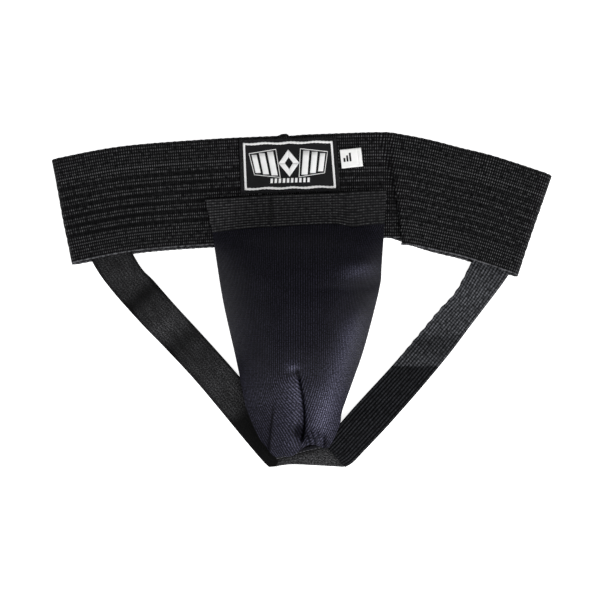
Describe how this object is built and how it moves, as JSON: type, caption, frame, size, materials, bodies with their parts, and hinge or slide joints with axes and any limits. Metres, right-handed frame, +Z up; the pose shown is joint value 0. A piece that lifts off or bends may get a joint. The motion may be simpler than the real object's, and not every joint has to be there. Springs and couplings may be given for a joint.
{
  "type": "groin protector",
  "caption": "Combat-sport groin protector: elastic waistband, knitted cup pouch with a removable vented hard cup, and elastic leg straps, lying flat front up.",
  "frame": {"origin": "middle of the footprint, on the surface that the protector lies on", "axes": "+X to the protector's right as seen from above, +Y towards the waist, +Z up out of the front"},
  "size_m": [0.353, 0.237, 0.0535],
  "materials": {
    "band_elastic": "matt black woven elastic",
    "strap_elastic": "matt black ribbed elastic",
    "mouth_elastic": "matt charcoal ribbed elastic",
    "pouch_knit": "slightly glossy blue-black rib knit",
    "pouch_lining": "matt black knit lining",
    "label_satin": "black and white woven satin",
    "tag_satin": "white satin tape",
    "thread": "black polyester thread",
    "cup_plastic": "natural white moulded polypropylene",
    "cushion_rubber": "soft grey rubber"
  },
  "bodies": {
    "harness": {"waistband": "band_elastic", "woven_label": "label_satin", "label_stitching": "thread", "pouch_front": "pouch_knit", "pouch_back": "pouch_lining", "mouth_elastic": "mouth_elastic", "mouth_tack_left": "thread", "mouth_tack_right": "thread", "side_seam_left": "thread", "side_seam_right": "thread", "dart_seam": "thread", "bottom_hem": "pouch_knit", "pouch_join_seam": "thread", "leg_strap_left": "strap_elastic", "leg_strap_right": "strap_elastic", "strap_bridge": "strap_elastic", "strap_tack_left": "thread", "strap_tack_right": "thread"},
    "cup": {"cup_shell": "cup_plastic", "cup_cushion": "cushion_rubber"},
    "tag": {"size_tag": "tag_satin"}
  },
  "joints": [
    {"name": "cup_slide", "type": "slide", "parent": "harness", "child": "cup", "axis": [0, 0.9781, 0.2079], "range_m": [0, 0.15], "deforming": ["pouch_front", "mouth_elastic", "mouth_tack_left", "mouth_tack_right", "dart_seam"]},
    {"name": "size_tag_flip", "type": "hinge", "parent": "harness", "child": "tag", "pos_m": [0.02703, 0.09947, 0.0116], "axis": [0.1098, -0.994, 0], "range_deg": [0, 120]}
  ]
}
